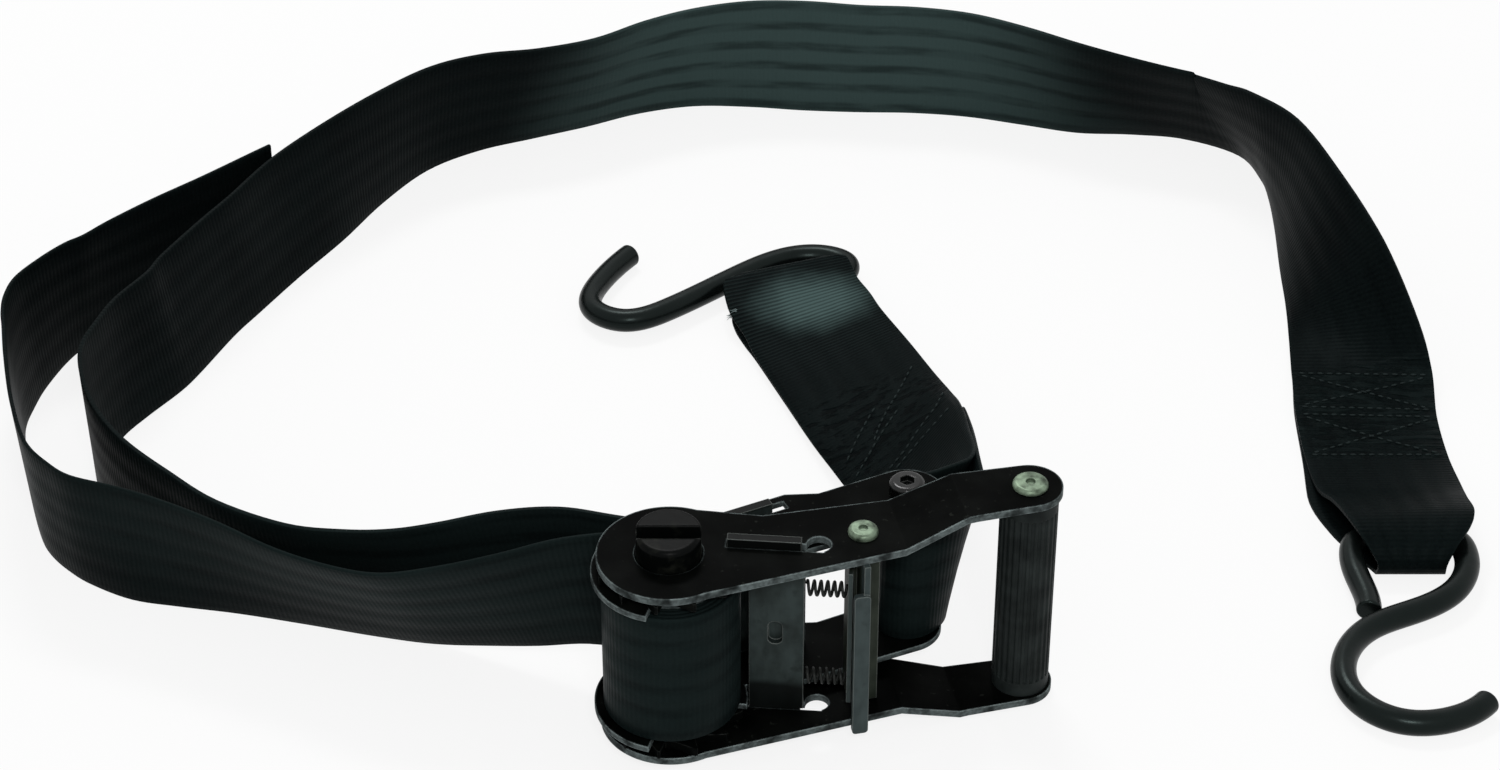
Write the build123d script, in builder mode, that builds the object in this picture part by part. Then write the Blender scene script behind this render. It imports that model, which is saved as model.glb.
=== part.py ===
"""Ratchet strap: a cam-locked ratchet on its side, 50 mm webbing and two S-hooks. Millimetres, +Z up."""
from build123d import *
from math import asin, cos, degrees, pi, radians, sin, sqrt, tan
import os

# ---------------------------------------------------------------- driving dimensions
DRUM_X, DRUM_Y = -17.45, -175.03      # the drum's axis, seen from the middle of the whole lay-out
MID_Z = 43.0                        # middle of the ratchet's width above the table

WEB_WIDTH = 50.0
WEB_THICKNESS = 1.4
WEB_GAP = 0.4                       # between the two layers of a sewn stretch
WEB_SIDE_PLAY = 0.75                # between the webbing on the drum and each frame plate

# the stack across the ratchet, from its middle outwards
FRAME_INSIDE = WEB_WIDTH + 2 * WEB_SIDE_PLAY
FRAME_THICKNESS = 2.0
WHEEL_THICKNESS = 3.0
HANDLE_THICKNESS = 2.5
SIDE_GAP = 0.3                      # running gap between plates and wheels
RUNNING = 0.08                      # radial running clearance in a hole
SEATED = 0.03                       # radial clearance of a fixed pin in its hole

DRUM_RADIUS = 10.2
DRUM_BODY_RADIUS = 11.4             # between the frame plates: its shoulders hold the drum endways
DRUM_SLOT = 3.1
DRUM_BACK_END = 43.0                # from the middle to the end of the back half
DRUM_FRONT_END = 41.7
DRUM_BACK_ROUND = 0.6
DRUM_FRONT_ROUND = 1.8
BUNDLE_RADIUS = 22.5

WHEEL_RADIUS = 23.0
WHEEL_ROOT = 17.9
WHEEL_TEETH = 12
TOOTH_UNDERCUT = 3.0                # degrees that a tooth's steep face leans
TOOTH_FLAT = 2.0                    # degrees of land at a tooth's tip

FRAME_ANGLE = 26.0                  # the frame's and the handle's directions from +X, seen from above
HANDLE_ANGLE = 12.2
CAM_RADIUS = 24.3                   # the frame's rim that holds the drive pawl out of the teeth
WORKING_RADIUS = 17.4               # the frame's rim where the drive pawl reaches the teeth
WORKING_FROM, WORKING_TO = 228.0, 326.0

BOLT_U = 83.0                       # along the frame from the drum
BOLT_RADIUS = 4.0
BOLT_HEAD_RADIUS = 5.7
BOLT_HEAD_HEIGHT = 5.6
NUT_HEIGHT = 5.0
SPACER_RADIUS = 6.0
FRAME_END_RADIUS = 12.5
FRAME_FRONT = -10.6
FRAME_BACK = 16.7

BRIDGE_U = 49.0
BRIDGE_THICKNESS = 2.0

PAWL_THICKNESS = 3.0
PAWL_GAP = 0.3                      # between a pawl and its slot
LOCK_PAWL_V = 12.0                  # the lock pawl's middle plane, from the drum along the frame's V
LOCK_PAWL_TIP = 14.9
LOCK_PAWL_BODY = 21.5
LOCK_PAWL_EAR_END = 40.8
LOCK_PAWL_BODY_END = 35.0
LOCK_PAWL_TRAVEL = 5.0

DRIVE_PAWL_ANGLE = -5.0             # from +X
DRIVE_PAWL_V = 5.85
DRIVE_PAWL_TIP = 24.35
DRIVE_PAWL_EAR = 17.5
DRIVE_PAWL_EAR_END = 40.6
DRIVE_PAWL_BODY_END = 41.6
DRIVE_PAWL_TRAVEL = 6.0
EAR_HEIGHT = 3.0                    # above the handle plate
PAWL_POCKET = (4.6, 9.0)            # along the drive pawl and across it
PAWL_POCKET_FLOOR = 0.8
DRIVE_SLOT_END = 47.6
KEYHOLE_U, KEYHOLE_V = 45.8, 7.9      # the round hole at the end of the drive pawl's slots
KEYHOLE_RADIUS = 3.8

HANDLE_END_RADIUS = 22.5
DRUM_HOLE_BEVEL = 0.6
GRIP_U, GRIP_V = 114.8, -0.5
GRIP_END_RADIUS = 10.3
GRIP_RADIUS = 9.2
GRIP_FLUTES = 26
FLUTE_RADIUS = 0.75
GRIP_COLLAR = 5.0                   # smooth length at each end of the sleeve
FLARE = 7.4                         # how far the plates spread at the grip
FLARE_FROM, FLARE_TO = 72.0, 92.0
ROD_RADIUS = 4.0
ROD_HEAD_RADIUS = 5.65
ROD_HEAD_HEIGHT = 1.7
ROD_HEAD_ROUND = 1.4
RIVET_HEAD_RADIUS = 4.8
RIVET_HEAD_HEIGHT = 2.0
RIVET_RADIUS = 3.0
CROSS_BAR_U, CROSS_BAR_V = 60.7, -3.3
CROSS_BAR_SIDE = 9.0
CROSS_BAR_WALL = 2.0
BAR_FLANGE_U, BAR_FLANGE_WIDTH = 57.35, 5.1
BAR_FLANGE_V = -18.3                # its front face, ahead of the handle plates' front edges
BAR_FLANGE_TOP = 20.5
BAR_FLANGE_PAST = 2.0               # how far it reaches past the lower handle plate
SPRING_SEAT = 55.3                  # the cross bar's flange, along the drive pawl from the drum
SPRING_SEAT_FROM, SPRING_SEAT_TO = 3.2, 12.5

EAR_INSIDE = 3.0                    # an ear of the lock pawl starts this far inside the frame plate
SPRING_SIDE_PLAY = 1.75             # between a spring and the ears beside it
SPRING_WIRE = 0.5
SPRING_RADIUS = 2.2
SPRING_TURNS = 6

HOOK_WIRE = 4.25                    # radius of the hooks' round bar
BAR_Z = WEB_THICKNESS + PAWL_GAP + HOOK_WIRE
HOOK_END_ROUND = 1.0

# ---------------------------------------------------------------- derived levels, from the middle
FRAME_IN = FRAME_INSIDE / 2
FRAME_OUT = FRAME_IN + FRAME_THICKNESS
WHEEL_IN = FRAME_OUT + SIDE_GAP
WHEEL_OUT = WHEEL_IN + WHEEL_THICKNESS
HANDLE_IN = WHEEL_OUT + SIDE_GAP
HANDLE_OUT = HANDLE_IN + HANDLE_THICKNESS
EAR_ROOT = FRAME_IN - SIDE_GAP - EAR_INSIDE
SPRING_LEVEL = EAR_ROOT - SPRING_SIDE_PLAY - SPRING_RADIUS - SPRING_WIRE
SIDES = {"upper": 1, "lower": -1}


def turned(angle, height=0.0):
    """A level plane at the drum's axis, its X turned by angle from the model's."""
    return Plane(
        origin=(DRUM_X, DRUM_Y, MID_Z + height),
        x_dir=(cos(radians(angle)), sin(radians(angle)), 0),
        z_dir=(0, 0, 1),
    )


def polar(radius, angle):
    return radius * cos(radians(angle)), radius * sin(radians(angle))


def save(builder, name):
    builder.part.label = name
    export_step(builder.part, f"parts/{name}.step")


os.makedirs("parts", exist_ok=True)

# ---------------------------------------------------------------- frame
for name, side in SIDES.items():
    with BuildPart() as frame_plate:
        with BuildSketch(turned(FRAME_ANGLE, side * FRAME_IN)):
            Circle(CAM_RADIUS)
            with BuildLine():
                Polyline(
                    (0, FRAME_BACK),
                    (48, FRAME_BACK),
                    (58, FRAME_END_RADIUS),
                    (BOLT_U, FRAME_END_RADIUS),
                    (BOLT_U, FRAME_FRONT - 1.9),
                    (34, FRAME_FRONT),
                    (23.8, -4.9),
                    (0, -4.9),
                    close=True,
                )
            make_face()
            with Locations((BOLT_U, 0)):
                Circle(FRAME_END_RADIUS)
            # the drive pawl's path beside the frame, at rest and pulled back
            with Locations(Location((0, 0, 0), (0, 0, DRIVE_PAWL_ANGLE - FRAME_ANGLE))):
                with Locations((CAM_RADIUS + 15, DRIVE_PAWL_V - 4)):
                    Rectangle(30, 2 * (4 + PAWL_THICKNESS / 2 + 2 * PAWL_GAP), mode=Mode.SUBTRACT)
            # the working stretch of the rim, low enough for the pawl to reach the teeth
            with BuildLine():
                Polyline(
                    (0, 0),
                    polar(2 * CAM_RADIUS, WORKING_FROM),
                    polar(2 * CAM_RADIUS, (WORKING_FROM + WORKING_TO) / 2),
                    polar(2 * CAM_RADIUS, WORKING_TO),
                    close=True,
                )
            make_face(mode=Mode.SUBTRACT)
            Circle(WORKING_RADIUS)
            Circle(DRUM_RADIUS + RUNNING, mode=Mode.SUBTRACT)
            with Locations((BOLT_U, 0)):
                Circle(BOLT_RADIUS + SEATED, mode=Mode.SUBTRACT)
            slot_from = LOCK_PAWL_TIP - PAWL_GAP
            slot_to = LOCK_PAWL_EAR_END + LOCK_PAWL_TRAVEL + PAWL_GAP
            with Locations(((slot_from + slot_to) / 2, LOCK_PAWL_V)):
                Rectangle(slot_to - slot_from, PAWL_THICKNESS + 2 * PAWL_GAP, mode=Mode.SUBTRACT)
        extrude(amount=side * FRAME_THICKNESS)
    save(frame_plate, f"frame_plate_{name}")

with BuildPart() as frame_bridge:
    with BuildSketch(turned(FRAME_ANGLE)):
        with Locations((BRIDGE_U, LOCK_PAWL_V - 2)):
            Rectangle(BRIDGE_THICKNESS, 10)
    extrude(amount=FRAME_IN, both=True)
save(frame_bridge, "frame_bridge")

with BuildPart() as fixed_bolt:
    with BuildSketch(turned(FRAME_ANGLE, FRAME_OUT)):
        with Locations((BOLT_U, 0)):
            Circle(BOLT_HEAD_RADIUS)
    extrude(amount=BOLT_HEAD_HEIGHT)
    fillet(fixed_bolt.edges().group_by(Axis.Z)[-1], 1.6)
    with BuildSketch(turned(FRAME_ANGLE, FRAME_OUT + BOLT_HEAD_HEIGHT)):
        with Locations((BOLT_U, 0)):
            RegularPolygon(2.6, 6)
    extrude(amount=-2.2, mode=Mode.SUBTRACT)
    with BuildSketch(turned(FRAME_ANGLE, FRAME_OUT)):
        with Locations((BOLT_U, 0)):
            Circle(BOLT_RADIUS)
    extrude(amount=-2 * FRAME_OUT - NUT_HEIGHT - 0.8)
save(fixed_bolt, "fixed_bolt")

with BuildPart() as bolt_nut:
    with BuildSketch(turned(FRAME_ANGLE, -FRAME_OUT)):
        with Locations((BOLT_U, 0)):
            RegularPolygon(6.5, 6, major_radius=False)
            Circle(BOLT_RADIUS + SEATED, mode=Mode.SUBTRACT)
    extrude(amount=-NUT_HEIGHT)
    chamfer(bolt_nut.faces().sort_by(Axis.Z)[0].outer_wire().edges(), 0.7)
save(bolt_nut, "bolt_nut")

with BuildPart() as bolt_spacer:
    with BuildSketch(turned(FRAME_ANGLE)):
        with Locations((BOLT_U, 0)):
            Circle(SPACER_RADIUS)
            Circle(BOLT_RADIUS + SEATED, mode=Mode.SUBTRACT)
    extrude(amount=FRAME_IN, both=True)
save(bolt_spacer, "bolt_spacer")

# ---------------------------------------------------------------- lock pawl, a flat plate that slides along the frame
with BuildPart() as lock_pawl:
    with BuildSketch(turned(FRAME_ANGLE)):
        with Locations(((LOCK_PAWL_BODY + LOCK_PAWL_BODY_END) / 2, LOCK_PAWL_V)):
            Rectangle(LOCK_PAWL_BODY_END - LOCK_PAWL_BODY, PAWL_THICKNESS)
    extrude(amount=WHEEL_OUT, both=True)
    for side in SIDES.values():
        with BuildSketch(turned(FRAME_ANGLE, side * EAR_ROOT)):
            with Locations(((LOCK_PAWL_BODY_END + LOCK_PAWL_EAR_END) / 2, LOCK_PAWL_V)):
                Rectangle(LOCK_PAWL_EAR_END - LOCK_PAWL_BODY_END, PAWL_THICKNESS)
        extrude(amount=side * (WHEEL_OUT - EAR_ROOT))
        with BuildSketch(turned(FRAME_ANGLE, side * FRAME_IN)):
            with Locations(((LOCK_PAWL_TIP + LOCK_PAWL_BODY) / 2, LOCK_PAWL_V)):
                Rectangle(LOCK_PAWL_BODY - LOCK_PAWL_TIP, PAWL_THICKNESS)
        extrude(amount=side * (WHEEL_OUT - FRAME_IN))
save(lock_pawl, "lock_pawl")

# ---------------------------------------------------------------- drive pawl, the same in the handle's slots
with BuildPart() as drive_pawl:
    with BuildSketch(turned(DRIVE_PAWL_ANGLE)):
        with Locations(((DRIVE_PAWL_TIP + DRIVE_PAWL_BODY_END) / 2, DRIVE_PAWL_V)):
            Rectangle(DRIVE_PAWL_BODY_END - DRIVE_PAWL_TIP, PAWL_THICKNESS)
    extrude(amount=WHEEL_OUT, both=True)
    for side in SIDES.values():
        with BuildSketch(turned(DRIVE_PAWL_ANGLE, side * WHEEL_OUT)):
            with Locations(((DRIVE_PAWL_TIP + DRIVE_PAWL_EAR_END) / 2, DRIVE_PAWL_V)):
                Rectangle(DRIVE_PAWL_EAR_END - DRIVE_PAWL_TIP, PAWL_THICKNESS)
        extrude(amount=side * (HANDLE_OUT + EAR_HEIGHT - WHEEL_OUT))
        with BuildSketch(turned(DRIVE_PAWL_ANGLE, side * HANDLE_IN)):
            with Locations(((DRIVE_PAWL_EAR + DRIVE_PAWL_TIP) / 2, DRIVE_PAWL_V)):
                Rectangle(DRIVE_PAWL_TIP - DRIVE_PAWL_EAR, PAWL_THICKNESS)
        extrude(amount=side * (HANDLE_OUT + EAR_HEIGHT - HANDLE_IN))
    pocket_plane = Plane(
        origin=turned(DRIVE_PAWL_ANGLE).from_local_coords((32.6, 0, 0)),
        x_dir=turned(DRIVE_PAWL_ANGLE).x_dir,
        z_dir=-turned(DRIVE_PAWL_ANGLE).y_dir,
    )
    with BuildSketch(pocket_plane):
        RectangleRounded(*PAWL_POCKET, radius=2)
    extrude(amount=-DRIVE_PAWL_V - PAWL_THICKNESS / 2 + PAWL_POCKET_FLOOR, mode=Mode.SUBTRACT)
save(drive_pawl, "drive_pawl")

# ---------------------------------------------------------------- handle
handle_side = Plane(
    origin=(DRUM_X, DRUM_Y, MID_Z),
    x_dir=turned(HANDLE_ANGLE).x_dir,
    z_dir=-turned(HANDLE_ANGLE).y_dir,
)
for name, side in SIDES.items():
    with BuildPart() as handle_plate:
        with BuildSketch(handle_side):
            with BuildLine():
                Polyline(
                    (-40, side * HANDLE_IN),
                    (FLARE_FROM, side * HANDLE_IN),
                    (FLARE_TO, side * (HANDLE_IN + FLARE)),
                    (150, side * (HANDLE_IN + FLARE)),
                    (150, side * (HANDLE_OUT + FLARE)),
                    (FLARE_TO, side * (HANDLE_OUT + FLARE)),
                    (FLARE_FROM, side * HANDLE_OUT),
                    (-40, side * HANDLE_OUT),
                    close=True,
                )
            make_face()
        extrude(amount=40, both=True)
        with BuildSketch(turned(HANDLE_ANGLE)):
            Circle(HANDLE_END_RADIUS)
            with BuildLine():
                Polyline(
                    polar(HANDLE_END_RADIUS, 265),
                    (95, -11.6),
                    (GRIP_U + 0.6, GRIP_V - GRIP_END_RADIUS),
                    (GRIP_U, GRIP_V + GRIP_END_RADIUS),
                    (95, 10.3),
                    (32, 11.5),
                    polar(HANDLE_END_RADIUS, 56),
                    close=True,
                )
            make_face()
            with Locations((GRIP_U, GRIP_V)):
                Circle(GRIP_END_RADIUS)
                Circle(ROD_RADIUS + SEATED, mode=Mode.SUBTRACT)
            Circle(DRUM_RADIUS + RUNNING, mode=Mode.SUBTRACT)
            with Locations((CROSS_BAR_U, CROSS_BAR_V)):
                Circle(RIVET_RADIUS + SEATED, mode=Mode.SUBTRACT)
        extrude(amount=60, both=True, mode=Mode.INTERSECT)
        hole = handle_plate.edges().filter_by(GeomType.CIRCLE)
        hole = hole.filter_by(lambda edge: abs(edge.radius - DRUM_RADIUS - RUNNING) < 0.001)
        chamfer(hole.sort_by(Axis.Z)[-1 if side > 0 else 0], DRUM_HOLE_BEVEL)
        slot_from = DRIVE_PAWL_EAR - PAWL_GAP
        with BuildSketch(turned(DRIVE_PAWL_ANGLE)):
            with Locations(((slot_from + DRIVE_SLOT_END) / 2, DRIVE_PAWL_V)):
                Rectangle(DRIVE_SLOT_END - slot_from, PAWL_THICKNESS + 2 * PAWL_GAP)
            with Locations((KEYHOLE_U, KEYHOLE_V)):
                Circle(KEYHOLE_RADIUS)
        extrude(amount=60, both=True, mode=Mode.SUBTRACT)
    save(handle_plate, f"handle_plate_{name}")

with BuildPart() as cross_bar:
    with BuildSketch(turned(HANDLE_ANGLE)):
        with Locations((CROSS_BAR_U, CROSS_BAR_V)):
            Rectangle(CROSS_BAR_SIDE, CROSS_BAR_SIDE)
        with Locations((CROSS_BAR_U, CROSS_BAR_V + CROSS_BAR_WALL)):
            Rectangle(CROSS_BAR_SIDE - 2 * CROSS_BAR_WALL, CROSS_BAR_SIDE, mode=Mode.SUBTRACT)
    extrude(amount=HANDLE_IN, both=True)
    for side in SIDES.values():
        with BuildSketch(turned(HANDLE_ANGLE, side * HANDLE_IN)):
            with Locations((CROSS_BAR_U, CROSS_BAR_V)):
                Rectangle(CROSS_BAR_SIDE, CROSS_BAR_SIDE)
        extrude(amount=-side * CROSS_BAR_WALL)
        with BuildSketch(turned(HANDLE_ANGLE, side * HANDLE_IN)):
            with Locations((CROSS_BAR_U, CROSS_BAR_V)):
                Circle(RIVET_RADIUS + SEATED)
        extrude(amount=-side * CROSS_BAR_WALL, mode=Mode.SUBTRACT)
    with BuildSketch(turned(DRIVE_PAWL_ANGLE)):
        with Locations((SPRING_SEAT + 0.75, (SPRING_SEAT_FROM + SPRING_SEAT_TO) / 2)):
            Rectangle(1.5, SPRING_SEAT_TO - SPRING_SEAT_FROM)
    extrude(amount=HANDLE_IN - CROSS_BAR_WALL - 3, both=True)
    # a web and a front flange, which passes in front of the lower plate's edge
    web_from = BAR_FLANGE_V + CROSS_BAR_WALL / 2
    web_to = CROSS_BAR_V - CROSS_BAR_SIDE / 2 + CROSS_BAR_WALL / 2
    with BuildSketch(turned(HANDLE_ANGLE)):
        with Locations((BAR_FLANGE_U + (BAR_FLANGE_WIDTH - CROSS_BAR_WALL) / 2, (web_from + web_to) / 2)):
            Rectangle(CROSS_BAR_WALL, web_to - web_from)
    extrude(amount=HANDLE_IN, both=True)
    flange_foot = -HANDLE_OUT - BAR_FLANGE_PAST
    with BuildSketch(handle_side.offset(-BAR_FLANGE_V)):
        with Locations((BAR_FLANGE_U, (BAR_FLANGE_TOP + flange_foot) / 2)):
            RectangleRounded(BAR_FLANGE_WIDTH, BAR_FLANGE_TOP - flange_foot, radius=1.2)
    extrude(amount=-CROSS_BAR_WALL)
save(cross_bar, "cross_bar")

with BuildPart() as cross_bar_rivets:
    for side in SIDES.values():
        with BuildSketch(turned(HANDLE_ANGLE, side * (HANDLE_IN - CROSS_BAR_WALL))):
            with Locations((CROSS_BAR_U, CROSS_BAR_V)):
                Circle(RIVET_RADIUS)
        extrude(amount=side * (HANDLE_THICKNESS + CROSS_BAR_WALL))
        with BuildSketch(turned(HANDLE_ANGLE, side * HANDLE_OUT)):
            with Locations((CROSS_BAR_U, CROSS_BAR_V)):
                Circle(RIVET_HEAD_RADIUS)
        extrude(amount=side * RIVET_HEAD_HEIGHT)
        rims = cross_bar_rivets.faces().sort_by(Axis.Z)[-1 if side > 0 else 0].edges()
        fillet(rims, 1.5)
        with BuildSketch(turned(HANDLE_ANGLE, side * (HANDLE_OUT + RIVET_HEAD_HEIGHT))):
            with Locations((CROSS_BAR_U, CROSS_BAR_V)):
                Circle(1.4)
        extrude(amount=-side * 0.9, mode=Mode.SUBTRACT)
save(cross_bar_rivets, "cross_bar_rivets")

GRIP_IN = HANDLE_IN + FLARE
GRIP_OUT = HANDLE_OUT + FLARE
with BuildPart() as grip_rod:
    with BuildSketch(turned(HANDLE_ANGLE)):
        with Locations((GRIP_U, GRIP_V)):
            Circle(ROD_RADIUS)
    extrude(amount=GRIP_OUT, both=True)
    for side in SIDES.values():
        with BuildSketch(turned(HANDLE_ANGLE, side * GRIP_OUT)):
            with Locations((GRIP_U, GRIP_V)):
                Circle(ROD_HEAD_RADIUS)
        extrude(amount=side * ROD_HEAD_HEIGHT)
        rims = grip_rod.faces().sort_by(Axis.Z)[-1 if side > 0 else 0].edges()
        fillet(rims, ROD_HEAD_ROUND)
        with BuildSketch(turned(HANDLE_ANGLE, side * (GRIP_OUT + ROD_HEAD_HEIGHT))):
            with Locations((GRIP_U, GRIP_V)):
                Circle(1.5)
        extrude(amount=-side * 1.0, mode=Mode.SUBTRACT)
save(grip_rod, "grip_rod")

with BuildPart() as grip_sleeve:
    with BuildSketch(turned(HANDLE_ANGLE)):
        with Locations((GRIP_U, GRIP_V)):
            Circle(GRIP_RADIUS)
            Circle(ROD_RADIUS + RUNNING, mode=Mode.SUBTRACT)
    extrude(amount=GRIP_IN - SIDE_GAP, both=True)
    with BuildSketch(turned(HANDLE_ANGLE)):
        with Locations((GRIP_U, GRIP_V)):
            with PolarLocations(GRIP_RADIUS + FLUTE_RADIUS / 3, GRIP_FLUTES):
                Circle(FLUTE_RADIUS)
    extrude(amount=GRIP_IN - SIDE_GAP - GRIP_COLLAR, both=True, mode=Mode.SUBTRACT)
save(grip_sleeve, "grip_sleeve")

# ---------------------------------------------------------------- springs behind the pawls
def coil(start, finish, side, plane):
    """One compression spring along the plane's X at its level."""
    inset = SPRING_WIRE + 0.05
    length = finish[0] - start[0] - 2 * inset
    foot = plane.from_local_coords((start[0] + inset, start[1], side * SPRING_LEVEL))
    pitch = length / SPRING_TURNS
    with BuildPart() as spring:
        with BuildLine() as turns:
            Helix(pitch=pitch, height=length, radius=SPRING_RADIUS, center=foot, direction=plane.x_dir)
        with BuildSketch(Plane(origin=turns.line @ 0, z_dir=turns.line % 0)):
            Circle(SPRING_WIRE)
        sweep(path=turns.line)
    return spring.part


with BuildPart() as lock_pawl_springs:
    for side in SIDES.values():
        start = (LOCK_PAWL_BODY_END, LOCK_PAWL_V)
        finish = (BRIDGE_U - BRIDGE_THICKNESS / 2, LOCK_PAWL_V)
        add(coil(start, finish, side, turned(FRAME_ANGLE)))
save(lock_pawl_springs, "lock_pawl_springs")

with BuildPart() as drive_pawl_springs:
    for side in SIDES.values():
        start = (DRIVE_PAWL_BODY_END, DRIVE_PAWL_V)
        finish = (SPRING_SEAT, DRIVE_PAWL_V)
        add(coil(start, finish, side, turned(DRIVE_PAWL_ANGLE)))
save(drive_pawl_springs, "drive_pawl_springs")

# ---------------------------------------------------------------- drum
for name, side, end, rounding in (
    ("back", 1, DRUM_BACK_END, DRUM_BACK_ROUND),
    ("front", -1, DRUM_FRONT_END, DRUM_FRONT_ROUND),
):
    with BuildPart() as drum_half:
        with BuildSketch(turned(0)):
            Circle(DRUM_RADIUS)
        extrude(amount=end, both=True)
        with BuildSketch(turned(0)):
            Circle(DRUM_BODY_RADIUS)
        extrude(amount=FRAME_IN - SIDE_GAP, both=True)
        with BuildSketch(turned(0)):
            with Locations((0, side * (DRUM_SLOT / 2 - 20))):
                Rectangle(60, 40)
        extrude(amount=60, both=True, mode=Mode.SUBTRACT)
        fillet(drum_half.faces().sort_by(Axis.Z)[-1].edges(), rounding)
    save(drum_half, f"drum_half_{name}")

# The teeth's steep faces look the way in which the webbing pulls, so the take-up turn is clockwise from above.
tooth_pitch = 360 / WHEEL_TEETH
lock_side = LOCK_PAWL_V - PAWL_THICKNESS / 2 - PAWL_GAP
tip_angle = FRAME_ANGLE + degrees(asin(lock_side / WHEEL_RADIUS))
for name, side in SIDES.items():
    with BuildPart() as ratchet_wheel:
        with BuildSketch(turned(0, side * WHEEL_IN)):
            with BuildLine():
                outline = []
                for tooth in range(WHEEL_TEETH):
                    tip = tip_angle + tooth * tooth_pitch
                    outline.append(polar(WHEEL_RADIUS, tip - TOOTH_FLAT))
                    outline.append(polar(WHEEL_RADIUS, tip))
                    outline.append(polar(WHEEL_ROOT, tip + TOOTH_UNDERCUT))
                    outline.append(polar(WHEEL_ROOT + 0.6, tip + tooth_pitch * 0.45))
                Polyline(*outline, close=True)
            make_face()
            Circle(DRUM_RADIUS + SEATED, mode=Mode.SUBTRACT)
            Rectangle(2 * DRUM_RADIUS + 1, DRUM_SLOT - 2 * SEATED)
        extrude(amount=side * WHEEL_THICKNESS)
    save(ratchet_wheel, f"ratchet_wheel_{name}")

with BuildPart() as webbing_bundle:
    with BuildSketch(turned(0)):
        Circle(BUNDLE_RADIUS)
        Circle(DRUM_BODY_RADIUS + SIDE_GAP, mode=Mode.SUBTRACT)
    extrude(amount=WEB_WIDTH / 2, both=True)
save(webbing_bundle, "webbing_bundle")

# ---------------------------------------------------------------- webbing
# Straps are drawn over the table from its middle front, then moved so the whole sits about the origin.
LAYOUT_FROM_DRUM = (25.0, 187.6)
LAYOUT_X, LAYOUT_Y = DRUM_X + LAYOUT_FROM_DRUM[0], DRUM_Y + LAYOUT_FROM_DRUM[1]
STEPS = 3                           # sections between two stations


def blend(points, steps):
    """Points along a smooth curve through the given ones."""
    out = []
    for index in range(len(points) - 1):
        before = points[max(index - 1, 0)]
        start, finish = points[index], points[index + 1]
        after = points[min(index + 2, len(points) - 1)]
        for step in range(steps):
            t = step / steps
            row = []
            for a, b, c, d in zip(before, start, finish, after):
                first = (c - a) / 2
                last = (d - b) / 2
                bend = (2 * t**3 - 3 * t**2 + 1) * b + (t**3 - 2 * t**2 + t) * first
                row.append(bend + (3 * t**2 - 2 * t**3) * c + (t**3 - t**2) * last)
            out.append(tuple(row))
    out.append(points[-1])
    return out


def ribbon(stations, steps=STEPS, thickness=WEB_THICKNESS):
    """Webbing through stations, each the two ends of the webbing's width."""
    rows = blend(stations, steps)
    lefts = [Vector(row[0] + LAYOUT_X, row[1] + LAYOUT_Y, row[2]) for row in rows]
    rights = [Vector(row[3] + LAYOUT_X, row[4] + LAYOUT_Y, row[5]) for row in rows]
    middles = [(left + right) / 2 for left, right in zip(lefts, rights)]
    with BuildPart() as webbing:
        for index, middle in enumerate(middles):
            across = rights[index] - lefts[index]
            ahead = middles[min(index + 1, len(middles) - 1)] - middles[max(index - 1, 0)]
            unit = across.normalized()
            ahead = ahead - unit * ahead.dot(unit)
            with BuildSketch(Plane(origin=middle, x_dir=unit, z_dir=ahead)):
                Rectangle(min(across.length, WEB_WIDTH), thickness)
        loft(ruled=True)
    return webbing.part


def upright(rows):
    """Stations of webbing on its edge: x, y and height of the lower edge, and its lean to the right."""
    out = []
    for index, (x, y, z, lean) in enumerate(rows):
        back, front = rows[max(index - 1, 0)], rows[min(index + 1, len(rows) - 1)]
        length = sqrt((front[0] - back[0]) ** 2 + (front[1] - back[1]) ** 2)
        right = ((front[1] - back[1]) / length, -(front[0] - back[0]) / length)
        shift = WEB_WIDTH * sin(radians(lean))
        rise = WEB_WIDTH * cos(radians(lean))
        out.append((x, y, z, x + shift * right[0], y + shift * right[1], z + rise))
    return out


def layer(stations, distance):
    """The same stations moved off along the webbing's own normal."""
    out = []
    for index, row in enumerate(stations):
        back, front = stations[max(index - 1, 0)], stations[min(index + 1, len(stations) - 1)]
        across = Vector(row[3] - row[0], row[4] - row[1], row[5] - row[2])
        ahead = Vector(front[0] - back[0], front[1] - back[1], front[2] - back[2])
        off = across.cross(ahead).normalized() * distance
        shift = (off.X, off.Y, off.Z, off.X, off.Y, off.Z)
        out.append(tuple(value + step for value, step in zip(row, shift)))
    return out


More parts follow.
